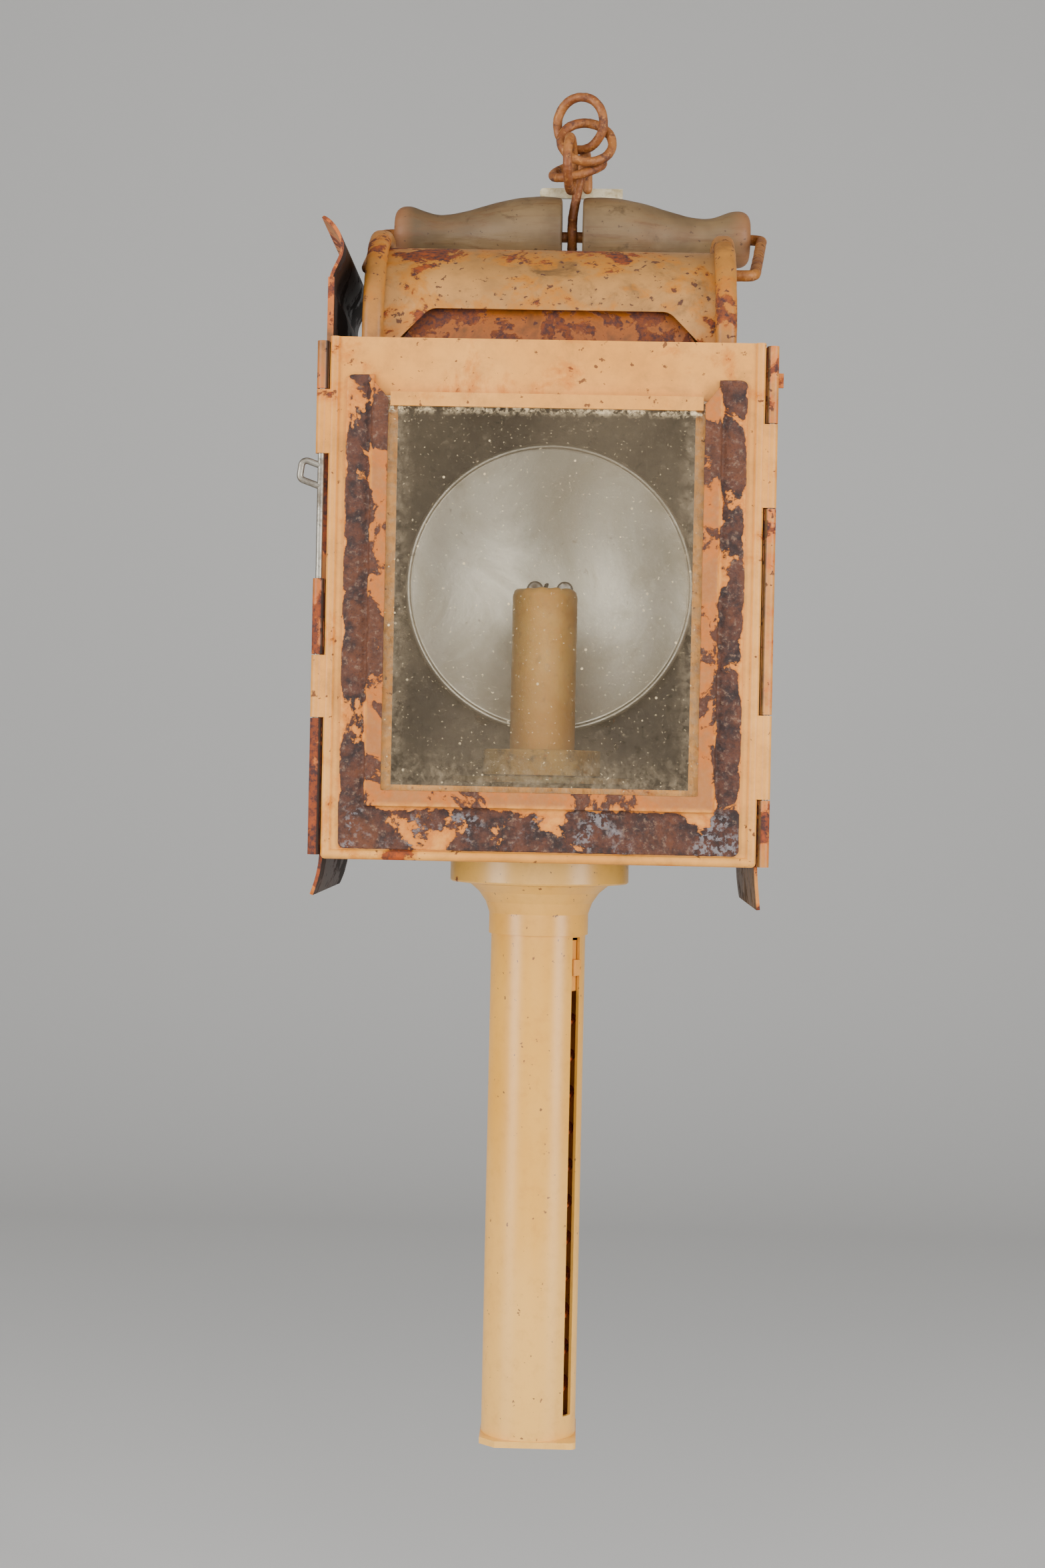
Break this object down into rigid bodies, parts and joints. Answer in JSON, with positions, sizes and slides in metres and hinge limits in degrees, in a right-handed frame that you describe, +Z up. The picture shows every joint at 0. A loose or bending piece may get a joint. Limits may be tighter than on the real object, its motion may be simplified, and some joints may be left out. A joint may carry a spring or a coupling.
{
  "type": "candle lantern",
  "caption": "Tin candle lantern for a wagon: glazed square case, barrel hood, wooden grip bail with chain, and a sprung candle tube below",
  "frame": {"origin": "on the outer face of the case back, at the middle of its width and at mid-height of the front frame", "axes": "X to the right seen from the front, the glass faces -Y, +Z up along the candle tube"},
  "size_m": [0.1469, 0.1242, 0.4433],
  "materials": {
    "case_paint": "old tan paint over tinplate, matt, chipped to rust",
    "hood_paint": "grey-tan paint with rust patches, matt",
    "retainer_rust": "heavily rusted sheet with islands of tan paint",
    "door_rust": "brown rust over worn tan paint",
    "soot_iron": "rusted and sooty sheet iron",
    "tube_paint": "clean sand-yellow enamel, satin, a few chips",
    "wire_rust": "rust-brown iron wire",
    "spring_rust": "rusty spring wire",
    "pin_wire": "dull grey wire",
    "bare_strip": "pale bare metal, dull",
    "tin_mirror": "old tinned mirror, hazy",
    "pane": "clear window glass, dusty",
    "grip_wood": "turned wood, weathered grey-beige paint",
    "wax": "aged honey-coloured wax",
    "wick_cotton": "burnt cotton",
    "bracket_iron": "dark worn iron"
  },
  "bodies": {
    "case": {"case_shell": "case_paint", "floor_plate": "case_paint", "roof_deck": "case_paint", "front_frame": "case_paint", "glass_retainer": "retainer_rust", "front_glass": "pane", "reflector": "tin_mirror", "reflector_rivets": "tin_mirror", "right_hinge_pin": "pin_wire", "hood_shell": "hood_paint", "hood_end_left": "hood_paint", "hood_end_right": "hood_paint", "hood_baffle": "soot_iron", "spigot_ring": "tube_paint", "guide_sleeve": "soot_iron", "rear_bracket": "bracket_iron", "bracket_rivets": "bracket_iron"},
    "left_door": {"left_door": "door_rust"},
    "left_pin": {"left_hinge_pin": "pin_wire"},
    "right_door": {"right_door": "door_rust"},
    "bail": {"bail_wire": "wire_rust"},
    "grip_left_half": {"grip_left": "grip_wood"},
    "grip_right_half": {"grip_right": "grip_wood"},
    "hook": {"chain_hook": "wire_rust", "cross_bar": "bare_strip"},
    "link_1": {"chain_link_1": "wire_rust"},
    "link_2": {"chain_link_2": "wire_rust"},
    "link_3": {"chain_link_3": "wire_rust"},
    "link_4": {"chain_link_4": "wire_rust"},
    "tube_unit": {"tube_socket": "tube_paint", "candle_tube": "tube_paint", "tube_base": "tube_paint", "tube_cap": "soot_iron", "follower_spring": "spring_rust"},
    "candle_stack": {"follower": "case_paint", "candle": "wax", "wick": "wick_cotton"}
  },
  "joints": [
    {"name": "left_door_hinge", "type": "hinge", "parent": "case", "child": "left_door", "pos_m": [-0.0676, -0.0944, 0], "axis": [0, 0, 1], "range_deg": [0, 120]},
    {"name": "right_door_hinge", "type": "hinge", "parent": "case", "child": "right_door", "pos_m": [0.0676, -0.0944, 0], "axis": [0, 0, -1], "range_deg": [0, 120]},
    {"name": "left_pin_slide", "type": "slide", "parent": "left_door", "child": "left_pin", "axis": [0, 0, -1], "range_m": [0, 0.025]},
    {"name": "bail_swing", "type": "hinge", "parent": "case", "child": "bail", "pos_m": [0, -0.0475, 0.1082], "axis": [1, 0, 0], "range_deg": [-30, 145]},
    {"name": "grip_left_spin", "type": "hinge", "parent": "bail", "child": "grip_left_half", "pos_m": [-0.026, 0.01277, 0.13255], "axis": [1, 0, 0], "continuous": true},
    {"name": "grip_right_spin", "type": "hinge", "parent": "bail", "child": "grip_right_half", "pos_m": [0.038, 0.01277, 0.13255], "axis": [1, 0, 0], "continuous": true},
    {"name": "hook_swing", "type": "hinge", "parent": "bail", "child": "hook", "pos_m": [0.0057, 0.01277, 0.13255], "axis": [1, 0, 0], "range_deg": [-20, 12]},
    {"name": "link_1_swing", "type": "hinge", "parent": "hook", "child": "link_1", "pos_m": [0.00961, 0.01695, 0.15931], "axis": [-0.9273, 0.3621, -0.0947], "range_deg": [-2.5, 2.5]},
    {"name": "link_2_swing", "type": "hinge", "parent": "link_1", "child": "link_2", "pos_m": [0.00414, 0.00264, 0.15086], "axis": [0.9028, -0.4263, 0.0567], "range_deg": [-2.5, 2.5]},
    {"name": "link_3_swing", "type": "hinge", "parent": "link_2", "child": "link_3", "pos_m": [0.00511, 0.00213, 0.16227], "axis": [-0.1019, -0.907, 0.4086], "range_deg": [-2.5, 2.5]},
    {"name": "link_4_swing", "type": "hinge", "parent": "link_3", "child": "link_4", "pos_m": [0.01734, 0.00656, 0.1668], "axis": [-0.5424, 0.3707, 0.7539], "range_deg": [-2.5, 2.5]},
    {"name": "tube_unit_slide", "type": "slide", "parent": "case", "child": "tube_unit", "axis": [0, 0, -1], "range_m": [0, 0.1]},
    {"name": "candle_slide", "type": "slide", "parent": "tube_unit", "child": "candle_stack", "axis": [0, 0, 1], "range_m": [-0.075, 0.006], "stiffness_N_per_m": 60, "springref_m": 0.0105, "deforming": ["follower_spring"]}
  ]
}
